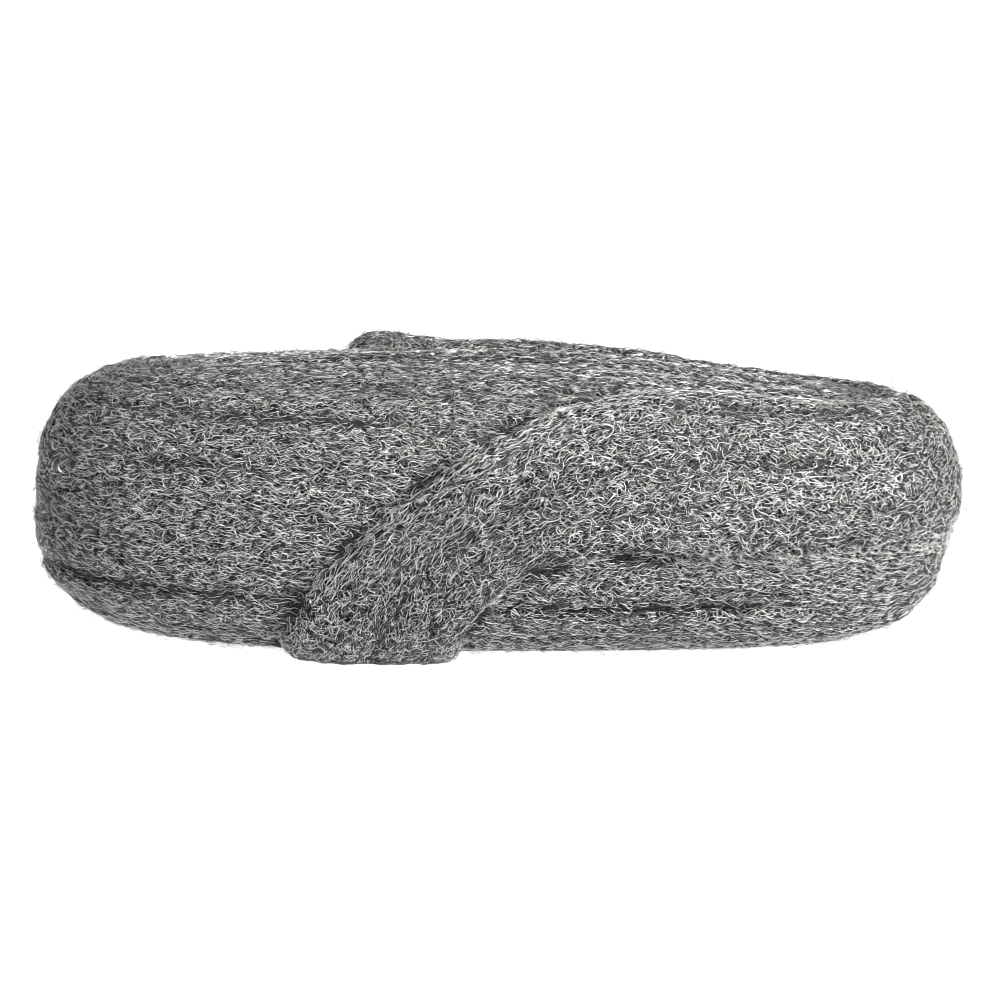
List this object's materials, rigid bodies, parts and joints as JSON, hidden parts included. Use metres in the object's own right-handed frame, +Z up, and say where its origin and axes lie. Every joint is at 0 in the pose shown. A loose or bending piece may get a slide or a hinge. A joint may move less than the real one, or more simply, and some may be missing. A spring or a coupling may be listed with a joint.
{
  "type": "steel wool bundle",
  "caption": "Oval hank of steel wool: one long sliver wound into soft laps, its last turn slanting across the front and tucked in on top, resting on a pressed flat underside.",
  "frame": {"origin": "middle of the bounding box's bottom face, on the surface that the bundle rests on", "axes": "+X along the bundle's length, towards the end that the last turn is wound round; the front, with the slanting turn, faces -Y; +Z up"},
  "size_m": [0.4736, 0.1902, 0.1507],
  "materials": {
    "steel_wool": "fine curled steel fibres with dark gaps between them, bright glints on single fibres"
  },
  "bodies": {
    "root": {"steel_wool_hank": "steel_wool"}
  },
  "joints": []
}
